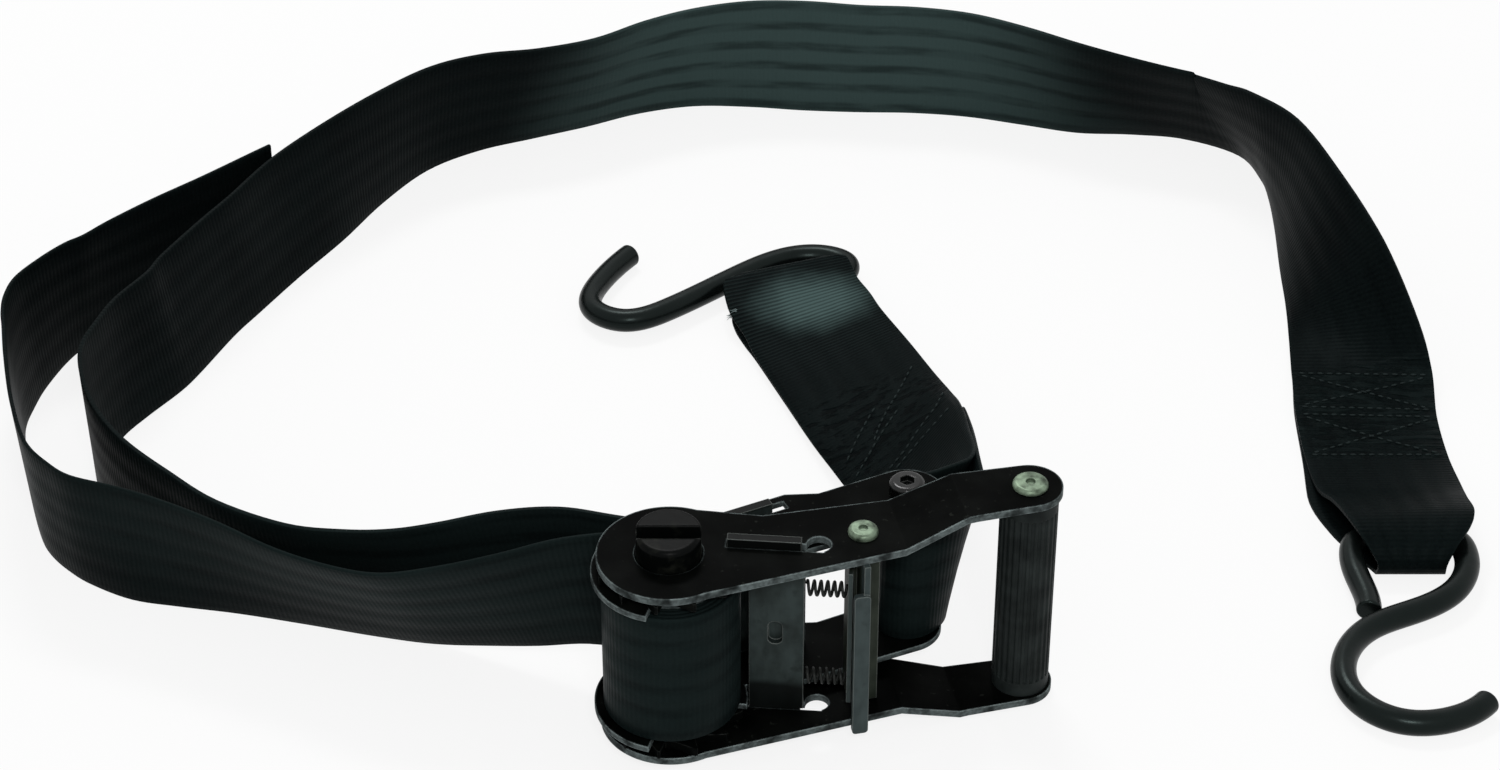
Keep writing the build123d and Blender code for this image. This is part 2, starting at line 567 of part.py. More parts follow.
# From the drum round the left and the far side to the long hook.
main_near = [
    (-21.0, -164.3, 18.0, -21.6, -164.2, 68.0),
    (-40.0, -160.0, 17.6, -43.0, -158.0, 67.4),
    (-55.0, -154.5, 16.0, -61.0, -151.5, 65.4),
    (-70.0, -149.8, 12.5, -80.5, -148.5, 61.4),
    (-87.0, -144.5, 8.0, -99.8, -148.0, 56.2),
    (-103.0, -140.0, 4.0, -115.1, -146.4, 52.1),
    (-122.0, -134.0, 1.2, -131.0, -143.4, 49.4),
    (-146.0, -127.5, 0.5, -150.0, -139.3, 48.6),
    (-171.0, -121.5, 0.4, -173.4, -128.5, 49.6),
    (-190.0, -112.0, 0.2, -191.1, -113.4, 50.2),
    (-207.0, -96.0, 0.2, -207.5, -96.7, 50.2),
    (-218.5, -79.0, 0.2, -219.0, -79.5, 50.2),
    (-225.0, -62.0, 0.2, -226.0, -62.2, 50.2),
    (-226.5, -45.0, 0.2, -229.0, -44.6, 50.2),
    (-221.5, -30.5, 0.4, -225.2, -28.2, 50.2),
    (-214.5, -18.9, 0.4, -220.7, -15.0, 49.9),
    (-204.5, -4.2, 0.4, -212.0, 0.4, 49.6),
    (-198.7, 7.2, 0.4, -208.1, 11.4, 49.3),
    (-189.2, 29.2, 0.4, -196.6, 32.9, 49.7),
]
main_far = upright(
    [
        (-181.3, 44.0, 0.4, -9),
        (-168.4, 67.4, 0.4, -10),
        (-154.6, 90.6, 0.4, -7),
        (-141.5, 116.3, 0.2, 1),
        (-125.9, 138.5, 0.4, 7),
        (-106.8, 152.5, 0.4, 11),
        (-86.0, 161.3, 0.4, 15),
        (-65.2, 169.8, 0.4, 16),
        (-44.3, 179.5, 0.4, 13),
        (-22.6, 185.0, 0.3, 9),
        (-0.6, 184.6, 0.2, 3),
        (21.3, 182.0, 0.2, 0),
        (43.2, 180.7, 0.2, 2),
        (65.1, 180.1, 0.2, 3),
        (86.9, 177.1, 0.3, 5),
        (108.2, 171.4, 0.3, 9),
        (129.2, 165.6, 0.4, 15),
        (150.9, 164.4, 0.4, 23),
        (172.5, 160.6, 0.4, 27),
    ]
)
main_end = [
    (191.9, 149.0, 0.4, 169.0, 139.5, 43.4),
    (198.6, 132.1, 0.4, 180.4, 127.3, 46.5),
    (200.2, 118.3, 0.4, 189.0, 117.8, 49.0),
    (200.2, 98.0, 0.4, 203.8, 97.9, 50.2),
    (199.1, 71.7, 0.5, 216.3, 66.6, 47.0),
    (198.3, 45.2, 0.9, 228.7, 34.5, 39.0),
    (196.8, 26.0, 1.6, 240.0, 10.5, 20.0),
    (194.9, 3.6, 2.6, 244.4, -3.0, 7.0),
    (193.6, -20.0, 2.5, 243.4, -22.0, 2.7),
    (194.0, -45.0, 2.5, 244.0, -45.0, 2.5),
    (195.5, -66.0, 5.0, 245.0, -66.0, 6.2),
    (198.5, -80.0, 11.0, 244.4, -80.0, 11.8),
    (200.8, -92.0, 15.0, 244.6, -92.0, 15.8),
    (203.6, -100.0, 15.0, 242.0, -100.0, 15.6),
    (206.8, -106.2, 12.6, 237.4, -106.2, 12.9),
    (210.2, -110.0, 8.0, 233.8, -110.0, 8.0),
    (210.4, -109.2, 3.6, 233.6, -109.2, 3.6),
    (209.6, -104.8, 1.2, 234.4, -104.8, 1.2),
    (204.5, -96.0, 0.8, 238.0, -96.0, 0.8),
    (198.4, -85.0, 0.75, 241.0, -85.0, 0.75),
    (193.0, -68.0, 0.75, 242.6, -68.0, 0.75),
    (193.4, -45.0, 0.75, 243.4, -45.0, 0.75),
    (193.6, -20.0, 0.75, 243.4, -22.0, 0.75),
    (194.6, -6.0, 0.75, 244.2, -9.0, 0.75),
]
with BuildPart() as main_strap:
    add(ribbon(main_near + main_far + main_end))
save(main_strap, "main_strap")

# The free end, from the drum along the front of the long run and round outside the left bend.
tail_route = [
    (-33.4, -165.6, 18.0, -33.8, -165.6, 68.0),
    (-51.7, -161.0, 17.0, -59.0, -167.5, 66.0),
    (-68.1, -157.3, 13.0, -80.0, -168.6, 60.2),
    (-84.0, -152.6, 9.0, -99.0, -167.5, 54.2),
    (-103.2, -147.1, 5.0, -117.1, -165.3, 49.6),
    (-121.9, -140.1, 2.0, -133.7, -158.6, 47.1),
    (-145.9, -132.2, 0.4, -152.6, -149.3, 46.7),
    (-169.7, -126.6, 0.4, -172.3, -138.3, 48.9),
    (-190.1, -122.9, 0.3, -191.1, -128.5, 49.9),
    (-206.2, -119.3, 0.2, -206.8, -121.6, 50.1),
    (-220.7, -111.6, 0.3, -223.0, -115.6, 50.0),
    (-229.4, -104.4, 0.3, -232.0, -108.0, 50.0),
    (-236.3, -96.4, 0.3, -239.0, -99.4, 50.0),
    (-240.8, -87.5, 0.3, -243.6, -89.0, 50.0),
    (-246.5, -70.0, 0.3, -249.3, -70.5, 50.0),
    (-252.5, -48.0, 0.3, -254.5, -48.0, 50.0),
    (-256.2, -32.2, 0.3, -257.6, -31.9, 50.0),
    (-256.8, -23.6, 0.3, -259.3, -23.4, 50.0),
    (-255.7, -14.8, 0.3, -259.9, -14.0, 50.0),
    (-253.7, -4.2, 0.3, -257.8, -3.0, 50.0),
    (-249.5, 9.0, 0.3, -250.6, 8.8, 50.0),
    (-245.4, 18.1, 0.3, -243.6, 17.4, 50.0),
    (-241.0, 24.9, 0.3, -237.4, 22.6, 50.0),
    (-232.2, 33.8, 0.3, -229.6, 31.6, 50.0),
    (-216.0, 46.4, 0.2, -215.6, 45.6, 50.0),
    (-199.6, 59.6, 0.2, -199.6, 59.6, 50.2),
    (-183.2, 75.2, 0.2, -183.2, 75.2, 50.2),
    (-177.0, 81.0, 0.2, -177.0, 81.0, 50.2),
]
with BuildPart() as tail_strap:
    add(ribbon(tail_route))
save(tail_strap, "tail_strap")

# The short strap is doubled from end to end: one length of webbing goes round the frame's spacer,
# along to the short hook's bar, round it and back to its own start.
doubled = [
    (55.0, -118.0, 14.0, 73.5, -117.0, 60.0),
    (46.0, -95.0, 9.0, 73.3, -90.0, 50.0),
    (39.6, -81.0, 6.4, 72.0, -68.0, 42.5),
    (31.6, -62.0, 4.6, 69.6, -47.0, 32.0),
    (22.1, -39.0, 3.0, 65.1, -24.0, 22.5),
    (12.4, -14.0, 2.5, 57.4, 2.0, 16.5),
    (2.2, 11.0, 3.0, 48.2, 28.0, 12.0),
]
upper_layer = layer(doubled, (WEB_THICKNESS + WEB_GAP) / 2)
lower_layer = layer(doubled, -(WEB_THICKNESS + WEB_GAP) / 2)
around_spacer = [
    (61.4, -135.0, 15.2, 74.6, -136.0, 63.4),
    (63.0, -147.5, 16.2, 69.6, -149.5, 65.8),
    (57.5, -157.4, 18.0, 58.6, -157.9, 68.0),
    (50.0, -160.0, 18.0, 50.4, -160.2, 68.0),
    (43.0, -156.6, 18.0, 43.2, -156.6, 68.0),
    (41.2, -149.0, 18.0, 41.6, -149.0, 68.0),
    (46.5, -139.0, 17.8, 49.5, -140.0, 67.6),
    (51.0, -129.5, 16.2, 62.5, -130.0, 64.6),
]
around_bar = [
    (-2.0, 22.0, 5.6, 44.0, 39.0, 12.6),
    (-7.6, 33.0, 8.6, 39.5, 49.0, 12.6),
    (-9.8, 46.0, 11.4, 36.5, 60.0, 13.0),
    (-6.8, 50.2, 11.5, 34.0, 62.2, 13.0),
    (-1.2, 53.9, 10.9, 28.0, 62.6, 11.9),
    (1.8, 56.6, 8.6, 25.2, 63.4, 8.8),
    (2.2, 57.0, 5.5, 25.2, 63.8, 5.5),
    (2.0, 56.7, 3.0, 25.2, 63.2, 3.0),
    (1.5, 55.0, 1.3, 27.0, 61.3, 1.3),
    (-2.5, 49.5, 0.8, 33.0, 59.3, 0.8),
    (-6.5, 41.0, 0.75, 38.0, 54.5, 0.8),
    (-5.5, 32.0, 0.85, 39.8, 48.0, 1.8),
    (-2.0, 22.0, 1.2, 44.0, 39.0, 6.0),
]
short_route = lower_layer[2::-1] + around_spacer + upper_layer + around_bar + lower_layer[:2:-1]
with BuildPart() as short_strap:
    add(ribbon(short_route, steps=2))
save(short_strap, "short_strap")


# ---------------------------------------------------------------- hooks
def bent_bar(plane, points):
    """A round bar along a smooth curve through the points."""
    with BuildPart() as hook:
        with BuildLine() as route:
            Spline(*[plane.from_local_coords(point) for point in points])
        with BuildSketch(Plane(origin=route.line @ 0, z_dir=route.line % 0)):
            Circle(HOOK_WIRE)
        sweep(path=route.line)
        ends = hook.faces().filter_by(GeomType.PLANE)
        fillet([edge for face in ends for edge in face.edges()], HOOK_END_ROUND)
    return hook.part


# The long hook's bar lies along X; the rest runs towards the front and dips to the table.
LONG_HOOK_REACH = 91.6
long_dip = asin((BAR_Z - HOOK_WIRE) / LONG_HOOK_REACH)
long_hook_plane = Plane(
    origin=(LAYOUT_X + 222.0, LAYOUT_Y - 94.0, BAR_Z),
    x_dir=(1, 0, 0),
    z_dir=(0, -sin(long_dip), cos(long_dip)),
)
with BuildPart() as hook_long:
    add(
        bent_bar(
            long_hook_plane,
            [
                (-17.2, -37.6),
                (-18.4, -22.0),
                (-19.2, -8.0),
                (-17.0, -2.3),
                (-11.5, -0.1),
                (0.0, 0.0),
                (12.0, -0.1),
                (17.3, -2.2),
                (19.1, -7.6),
                (18.3, -16.5),
                (13.6, -26.0),
                (-1.0, -36.9),
                (-17.8, -45.8),
                (-28.0, -60.5),
                (-27.4, -78.6),
                (-15.0, -90.0),
                (0.5, -90.2),
                (15.6, -80.8),
            ],
        )
    )
save(hook_long, "hook_long")

# The short hook's bar lies across the short strap and stops inside its fold.
SHORT_BAR_ANGLE = 15.0
SHORT_HOOK_REACH = 36.0
short_dip = asin((BAR_Z - HOOK_WIRE) / SHORT_HOOK_REACH)
SHORT_BAR = (2.0, 50.4)
short_hook_plane = Plane(
    origin=(LAYOUT_X + SHORT_BAR[0], LAYOUT_Y + SHORT_BAR[1], BAR_Z),
    x_dir=(cos(radians(SHORT_BAR_ANGLE)), sin(radians(SHORT_BAR_ANGLE)), 0),
    z_dir=(
        -sin(short_dip) * sin(radians(SHORT_BAR_ANGLE)),
        sin(short_dip) * cos(radians(SHORT_BAR_ANGLE)),
        cos(short_dip),
    ),
)


def along_bar(x, y):
    """A place over the table as the short hook's own X and Y."""
    c, s = cos(radians(SHORT_BAR_ANGLE)), sin(radians(SHORT_BAR_ANGLE))
    return (x - SHORT_BAR[0]) * c + (y - SHORT_BAR[1]) * s, -(x - SHORT_BAR[0]) * s + (y - SHORT_BAR[1]) * c


with BuildPart() as hook_short:
    add(
        bent_bar(
            short_hook_plane,
            [
                along_bar(*SHORT_BAR),
                along_bar(16.0, 54.15),
                along_bar(30.0, 57.9),
                along_bar(35.4, 61.3),
                along_bar(36.4, 66.9),
                along_bar(31.6, 71.7),
                along_bar(20.0, 73.5),
                along_bar(-3.7, 60.4),
                along_bar(-30.0, 37.9),
                along_bar(-46.5, 30.9),
                along_bar(-57.6, 38.6),
                along_bar(-56.6, 54.0),
                along_bar(-44.6, 75.8),
            ],
        )
    )
save(hook_short, "hook_short")
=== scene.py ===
from math import cos, hypot, pi, radians, sin
from random import Random

import bmesh
import bpy
from mathutils import Euler, Matrix, Vector
from mathutils.bvhtree import BVHTree


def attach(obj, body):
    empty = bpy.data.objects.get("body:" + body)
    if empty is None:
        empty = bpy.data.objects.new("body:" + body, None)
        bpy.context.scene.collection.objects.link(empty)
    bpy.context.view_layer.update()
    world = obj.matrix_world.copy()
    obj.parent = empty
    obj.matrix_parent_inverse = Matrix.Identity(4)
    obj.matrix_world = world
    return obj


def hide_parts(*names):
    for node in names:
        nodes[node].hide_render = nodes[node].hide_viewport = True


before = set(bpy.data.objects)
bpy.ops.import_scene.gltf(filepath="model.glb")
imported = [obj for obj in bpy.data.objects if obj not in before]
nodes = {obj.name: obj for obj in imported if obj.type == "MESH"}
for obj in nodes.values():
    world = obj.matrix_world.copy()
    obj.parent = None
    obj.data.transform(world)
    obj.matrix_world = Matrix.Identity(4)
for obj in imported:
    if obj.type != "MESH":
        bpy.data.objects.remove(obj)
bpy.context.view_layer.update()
MM = 0.001

# ------------------------------------------------------------------ dimensions, metres
WEB_WIDTH = 0.050
WEB_THICKNESS = 0.0014
WEB_GAP = 0.0004                    # between the two layers of a sewn stretch
WEB_CELLS = 14                      # quads across the webbing
WEB_STEPS = 6                       # rows of quads from one station to the next
SELVEDGE_ROUND = 0.0005
SELVEDGE_ANGLE = 60                 # degrees, edges that turn further are rounded

DRUM = Vector((-0.01745, -0.17503, 0.043))
DRUM_TO_LAYOUT = Vector((0.0250, 0.1876, -DRUM.z))
LAYOUT = DRUM + DRUM_TO_LAYOUT      # the point that the webbing's stations count from
WOUND_INNER, WOUND_OUTER = 0.0125, 0.0218
WOUND_TURNS = 6
WOUND_STEPS = 64                    # rows of quads in a turn
WOUND_FINISH = 80.0                 # degrees from +X at which the last turn ends

STITCH_PITCH = 0.0032
STITCH_SHARE = 0.80                 # of the pitch that lies on top as thread
THREAD_RADIUS = 0.00042
FRAYED_PLACE = Vector((-5.0, 34.5, 9.0))    # mm, on the same lay-out as the stations
FRAYED_FIBRES = 26
FIBRE_ROOT, FIBRE_TIP = 0.00018, 0.00005

RIB_PITCH = 0.0017                  # of the ribs across the webbing
BAND_PITCH = 0.0092                 # of the bands along the webbing
# Each place on the webbing, seen from above, is a middle and a reach along X and Y.
# Painted sheen: the far run's middle is painted lighter, as if catching the light.
LONG_SHEEN = (0.030, 0.195), (0.165, 0.045)
# Painted highlight: the fold over the short hook is painted lighter where light catches it.
END_SHEEN = (0.0310, 0.0485), (0.021, 0.015)
SHORT_SEAM = (0.0480, -0.0300), (0.032, 0.030)
LONG_SEAM = (0.2266, -0.0095), (0.040, 0.027)
PAWL_EAR = 0.0300                   # from the ratchet's middle up to where an ear is painted dark, as painted shade
PAWL_FOOT = 0.0190                  # and down to where a pawl is painted dark, as painted shade
BAR_WEB_FRONT = -0.176              # the cross bar is olive behind this


# ------------------------------------------------------------------ materials
class Socket:
    """A value in a material. Sums and products of it add Math nodes."""

    def __init__(self, finish, link):
        self.finish = finish
        self.link = link

    def maths(self, operation, *values):
        """One Math node on these values."""
        return self.finish.node("ShaderNodeMath", {"operation": operation}, dict(enumerate(values)))

    def __add__(self, other):
        return self.maths("ADD", self, other)

    def __radd__(self, other):
        return self.maths("ADD", other, self)

    def __sub__(self, other):
        return self.maths("SUBTRACT", self, other)

    def __rsub__(self, other):
        return self.maths("SUBTRACT", other, self)

    def __mul__(self, other):
        return self.maths("MULTIPLY", self, other)

    def __rmul__(self, other):
        return self.maths("MULTIPLY", other, self)

    def __truediv__(self, other):
        return self.maths("DIVIDE", self, other)

    def __pow__(self, other):
        return self.maths("POWER", self, other)

    def sine(self):
        return self.maths("SINE", self)

    def size(self):
        return self.maths("ABSOLUTE", self)

    def least(self, other):
        return self.maths("MINIMUM", self, other)

    def most(self, other):
        return self.maths("MAXIMUM", self, other)

    def ramp(self, start, finish, low=0.0, high=1.0):
        """Goes smoothly from low, at start, to high, at finish."""
        values = {"Value": self, "From Min": start, "From Max": finish, "To Min": low, "To Max": high}
        return self.finish.node("ShaderNodeMapRange", {"interpolation_type": "SMOOTHSTEP"}, values)


class Finish:
    """The nodes of one procedural material, or of the world."""

    def __init__(self, name, shelf=None):
        self.owner = (bpy.data.materials if shelf is None else shelf).new(name)
        self.owner.use_nodes = True
        self.tree = self.owner.node_tree
        self.tree.nodes.clear()

    def node(self, kind, settings=None, values=None, out=0):
        """A node of that kind, its settings made first, then its inputs' values or links."""
        made = self.tree.nodes.new(kind)
        for name, setting in (settings or {}).items():
            setattr(made, name, setting)
        for key, value in (values or {}).items():
            target = made.inputs[key] if isinstance(key, int) else None
            if target is None:
                target = next(s for s in made.inputs if key in (s.identifier, s.name) and s.enabled)
            if isinstance(value, Socket):
                self.tree.links.new(value.link, target)
            else:
                target.default_value = value
        shown = [s for s in made.outputs if s.enabled]
        if isinstance(out, str):
            return Socket(self, next(s for s in shown if s.name == out))
        return Socket(self, shown[out]) if shown else made

    def place(self):
        """Object coordinates, in metres."""
        return self.node("ShaderNodeTexCoord", out="Object")

    def normal(self):
        """The face's own direction."""
        return self.node("ShaderNodeNewGeometry", out="Normal")

    def parts(self, vector):
        """The three numbers of a vector."""
        made = self.node("ShaderNodeSeparateXYZ", values={"Vector": vector}).link.node
        return [Socket(self, made.outputs[name]) for name in "XYZ"]

    def vector(self, x, y, z=0.0):
        """A vector from three numbers."""
        return self.node("ShaderNodeCombineXYZ", values={"X": x, "Y": y, "Z": z})

    def noise(self, size, detail=2.0, vector=None, stretch=None):
        """Noise from 0 to 1, with lumps of about that size in metres."""
        vector = vector or self.place()
        if stretch:
            vector = self.node("ShaderNodeMapping", values={"Vector": vector, "Scale": stretch})
        values = {"Vector": vector, "Scale": 1.0 / size, "Detail": detail}
        return self.node("ShaderNodeTexNoise", values=values, out="Fac")

    def mix(self, factor, low, high):
        """A colour between low and high."""
        values = {"Factor_Float": factor, "A_Color": self.colour(low), "B_Color": self.colour(high)}
        return self.node("ShaderNodeMix", {"data_type": "RGBA"}, values)

    @staticmethod
    def colour(value):
        """A colour's link, or its three numbers with the fourth that a socket asks for."""
        return value if isinstance(value, Socket) else (*value, 1.0)

    def edge(self, radius, start, finish):
        """1 along the sharp edges of a shape and 0 on its faces, and the rounded normal there."""
        rounded = self.node("ShaderNodeBevel", {"samples": 6}, {"Radius": radius})
        values = {0: rounded, 1: self.normal()}
        along = self.node("ShaderNodeVectorMath", {"operation": "DOT_PRODUCT"}, values, out="Value")
        return (1.0 - along).ramp(start, finish), rounded

    def bump(self, height, depth, strength=1.0, normal=None):
        """A normal tilted by a height from 0 to 1 that stands for that depth in metres."""
        values = {"Height": height, "Distance": depth, "Strength": strength}
        if normal:
            values["Normal"] = normal
        return self.node("ShaderNodeBump", values=values)

    def shader(self, **values):
        """The Principled shader and the output. An underscore in a name stands for a space."""
        named = {name.replace("_", " "): value for name, value in values.items()}
        named["Base Color"] = self.colour(named["Base Color"])
        self.output(self.node("ShaderNodeBsdfPrincipled", values=named))
        return self.owner

    def output(self, surface, kind="ShaderNodeOutputMaterial"):
        """Ends the tree."""
        self.node(kind, values={"Surface": surface})

    def background_rays(self):
        """1 for rays to the camera, off gloss and through glass, and 0 for light on the object."""
        names = ("Is Camera Ray", "Is Glossy Ray", "Is Transmission Ray")
        seen, glossy, clear = (self.node("ShaderNodeLightPath", out=name) for name in names)
        return (seen + glossy + clear).least(1.0)


def woven_webbing():
    """Black polyester webbing: cross ribs and streaky bands, painted sheen on two places, painted light
    on its upper front stretches and selvedges, and puckered seams with painted shade and light.
    """
    finish = Finish("woven_webbing")
    across, along, _ = finish.parts(finish.node("ShaderNodeUVMap", {"uv_map": "weave"}))
    x, y, z = finish.parts(finish.place())

    def beside(place):
        """How far a point is from a place, in shares of its reach."""
        (middle_x, middle_y), (reach_x, reach_y) = place
        return (x - middle_x) / reach_x, (y - middle_y) / reach_y

    def squared(place):
        part_x, part_y = beside(place)
        return part_x * part_x + part_y * part_y

    waver = finish.noise(0.012, 2.0) - 0.5
    fuzz = finish.noise(0.0011, 2.0)
    rib = ((along + waver * 0.0008) * (2 * pi / RIB_PITCH)).sine() * 0.5 + 0.5
    band = ((across + waver * 0.0010) * (2 * pi / BAND_PITCH)).sine() * 0.5 + 0.5
    lengthwise = finish.vector(across, along * 0.16)
    streak = finish.noise(0.0045, 3.0, vector=lengthwise).ramp(0.34, 0.66)
    dark = band.ramp(0.35, 0.95) * (0.25 + streak * 0.75)
    # The selvedges are painted a little lighter, a painted highlight along the edges, and sit lower in
    # the bump.
    selvedge = (across - WEB_WIDTH / 2).size().ramp(0.0225, 0.0247)
    cloudy = finish.noise(0.045, 3.0) - 0.5

    # Painted sheen on the far run's middle, weaker on the dark bands.
    long_sheen = squared(LONG_SHEEN).ramp(0.0, 1.0, 1.0, 0.0)
    # Painted highlight on the fold over the short hook; near it the ribs carry painted light and stand
    # out more in the bump.
    end_far = squared(END_SHEEN) ** 0.5 + waver * 0.5
    end_sheen = end_far.ramp(0.20, 1.35, 1.0, 0.0)
    ribbed = end_far.ramp(1.4, 3.2, 1.0, 0.10)

    # Seams: the short seam's puckers are painted darker, painted shade in their folds; the long seam's
    # ruffles are painted lighter, painted light on their crests. Both also shape the bump.
    seam = squared(SHORT_SEAM).ramp(0.5, 1.1, 1.0, 0.0)
    slanted = finish.vector(across + along * 0.6, along * 1.8)
    pucker_and_shade = finish.noise(0.0070, 2.0, vector=slanted).ramp(0.46, 0.62) * seam
    rows_x, rows_y = beside(LONG_SEAM)
    rows = rows_x.size().most(rows_y.size()).ramp(0.86, 1.0, 1.0, 0.0)
    crosswise = finish.vector(across * 0.40, along * 1.5)
    ruffle_and_light = finish.noise(0.0052, 3.0, vector=crosswise).ramp(0.40, 0.62) * rows

    # Painted light: the upper parts of the webbing's front stretches are painted lighter, less on the
    # dark bands.
    front = y.ramp(-0.150, -0.060, 1.0, 0.0) * z.ramp(0.002, 0.032)
    lift = 0.021 + cloudy * 0.056 + (fuzz - 0.5) * 0.049 + (rib - 0.35) * ribbed * 0.091
    lift = lift + long_sheen * (0.60 - dark * 0.34) + front * (0.076 - dark * 0.035)
    lift = lift + end_sheen * (0.52 + rib * 0.75) + selvedge * 0.018 - dark * 0.008
    lift = (lift + seam * 0.008 - pucker_and_shade * 0.038 + ruffle_and_light * 0.036).most(0.0)
    weave = rib * (0.2 + ribbed * 0.6) - band * 0.7 + fuzz * 0.3
    height = weave - selvedge * 0.6 - pucker_and_shade * 1.5 + ruffle_and_light * 3.4
    return finish.shader(
        Base_Color=finish.mix(lift, (0.0010, 0.0017, 0.0019), (0.0600, 0.0970, 0.0940)),
        Roughness=0.46,
        Specular_IOR_Level=0.020,
        Specular_Tint=(0.75, 1.0, 1.0, 1.0),
        Normal=finish.bump(height, 0.00022),
    )


def spun(name, lump, dark, pale, roughness, gloss):
    """One mottled finish for threads, cut yarn and wire."""
    finish = Finish(name)
    return finish.shader(
        Base_Color=finish.mix(finish.noise(lump, 2.0), dark, pale),
        Roughness=roughness,
        Specular_IOR_Level=gloss,
    )


def plate_paint():
    """Satin black paint on pressed steel. Its sharp edges and upright cut faces are lighter, partly
    rubbed to bright metal and partly a painted highlight.
    """
    finish = Finish("plate_paint")
    edge, rounded = finish.edge(0.0011, 0.03, 0.30)
    patchy = finish.noise(0.006, 3.0).ramp(0.30, 0.62)
    fine = finish.noise(0.0012, 2.0).ramp(0.25, 0.75)
    _, _, facing = finish.parts(finish.normal())
    # Painted highlight and wear: upright cut faces and sharp edges take the bright metal colour.
    cut_face = facing.size().ramp(0.25, 0.60, 1.0, 0.0) * 0.28
    worn = edge.most(cut_face) * (0.15 + patchy * 0.85) * (0.50 + fine * 0.50) * 1.7
    worn = worn.least(1.0)
    dust = finish.noise(0.018, 4.0).ramp(0.35, 0.80)
    speck = finish.noise(0.0022, 3.0).ramp(0.66, 0.74) * 0.25
    paint = finish.mix(dust, (0.0007, 0.0009, 0.0008), (0.0040, 0.0046, 0.0042))
    paint = finish.mix(speck, paint, (0.040, 0.044, 0.038))
    grain = finish.noise(0.0006, 2.0)
    return finish.shader(
        Base_Color=finish.mix(worn, paint, (0.24, 0.29, 0.29)),
        Metallic=worn * 0.35,
        Roughness=0.46,
        Specular_IOR_Level=0.010,
        Normal=finish.bump(grain + dust * 0.8, 0.00006, 0.6, rounded),
    )


def zinc_plate(name, face, side, pawl=False):
    """Dull zinc plate with rolled streaks. A pawl's ends are painted dark as shade, and the bar's back
    is olive.
    """
    finish = Finish(name)
    edge, rounded = finish.edge(0.0007, 0.03, 0.30)
    _, depth, level = finish.parts(finish.place())
    cloudy = finish.noise(0.008, 4.0)
    streak = finish.noise(0.0009, 2.0, stretch=(0.25, 1.0, 0.08))
    stain = finish.noise(0.0045, 4.0).ramp(0.56, 0.72)
    lift = (cloudy * 0.6 + streak * 0.4).ramp(0.30, 0.72)
    colour = finish.mix(lift, side, face)
    colour = finish.mix(stain * 0.4, colour, tuple(part * 0.45 for part in side))
    metal = 0.10 + lift * 0.15
    if pawl:
        # Painted shade: the ears and the pawl's lower end among the plates are painted dark, their
        # edges left light.
        above = (level - DRUM.z).ramp(PAWL_EAR, PAWL_EAR + 0.0012)
        below = (DRUM.z - level + (cloudy - 0.5) * 0.004).ramp(PAWL_FOOT, PAWL_FOOT + 0.0035)
        end_shade = above.most(below * 0.93) * (1.0 - edge * 0.9)
        colour = finish.mix(end_shade, colour, (0.0024, 0.0030, 0.0028))
        metal = metal * (1.0 - end_shade)
    else:
        inner = (depth - BAR_WEB_FRONT).ramp(-0.0015, 0.0015)
        olive = finish.mix(lift, (0.014, 0.018, 0.013), (0.033, 0.040, 0.031))
        colour = finish.mix(inner, colour, olive)
    return finish.shader(
        Base_Color=finish.mix(edge * 0.5, colour, (0.34, 0.37, 0.35)),
        Metallic=metal,
        Roughness=0.46 + (cloudy - 0.5) * 0.25,
        Specular_IOR_Level=0.06,
        Normal=finish.bump(streak + cloudy, 0.00005, 0.5, rounded),
    )


def rivet_steel():
    """Bare rivet steel with a green cast, lightly turned, with painted shade along its rims and edges.
    """
    finish = Finish("rivet_steel")
    bright, dull = (0.21, 0.28, 0.20), (0.030, 0.040, 0.028)
    edge, rounded = finish.edge(0.0005, 0.03, 0.25)
    cloudy = finish.noise(0.0036, 3.0).ramp(0.20, 0.70)
    return finish.shader(
        # Painted shade: the sharp edges, such as a head's rim, take the dull colour.
        Base_Color=finish.mix(edge * 0.5, finish.mix(cloudy, dull, bright), dull),
        Metallic=0.5,
        Roughness=0.38 + (cloudy - 0.5) * 0.2,
        Specular_IOR_Level=0.1,
        Normal=finish.bump(cloudy, 0.00008, 0.6, rounded),
    )


def blackened_steel(name, wear=0.7, gloss=0.04, roughness=0.34):
    """Black oxide with brown-grey rubbed places and worn edges."""
    finish = Finish(name)
    edge, rounded = finish.edge(0.0007, 0.04, 0.30)
    cloudy = finish.noise(0.0055, 4.0)
    rubbed = cloudy.ramp(0.52, 0.75)
    base = finish.mix(rubbed * wear, (0.0014, 0.0018, 0.0017), (0.013, 0.014, 0.011))
    worn = edge * finish.noise(0.003, 2.0).ramp(0.30, 0.65) * wear
    return finish.shader(
        Base_Color=finish.mix(worn, base, (0.20, 0.215, 0.20)),
        Metallic=worn * 0.6,
        Roughness=roughness + (cloudy - 0.5) * 0.2,
        Specular_IOR_Level=gloss,
        Normal=finish.bump(cloudy, 0.00012, 0.6, rounded),
    )


def hook_coating():
    """Smooth black coating over round bar, with shallow flow marks and a few rubbed places."""
    finish = Finish("hook_coating")
    flow = finish.noise(0.010, 3.0)
    grain = finish.noise(0.0011, 2.0)
    rubbed = finish.noise(0.0060, 4.0).ramp(0.68, 0.76)
    colour = finish.mix(flow, (0.0010, 0.0015, 0.0015), (0.0042, 0.0058, 0.0054))
    return finish.shader(
        Base_Color=finish.mix(rubbed * 0.4, colour, (0.035, 0.040, 0.036)),
        Roughness=0.30 + (flow - 0.5) * 0.12,
        Specular_IOR_Level=0.14,
        Specular_Tint=(0.78, 1.0, 0.96, 1.0),
        Normal=finish.bump(flow * 1.4 + grain * 0.12, 0.00025, 0.5),
    )


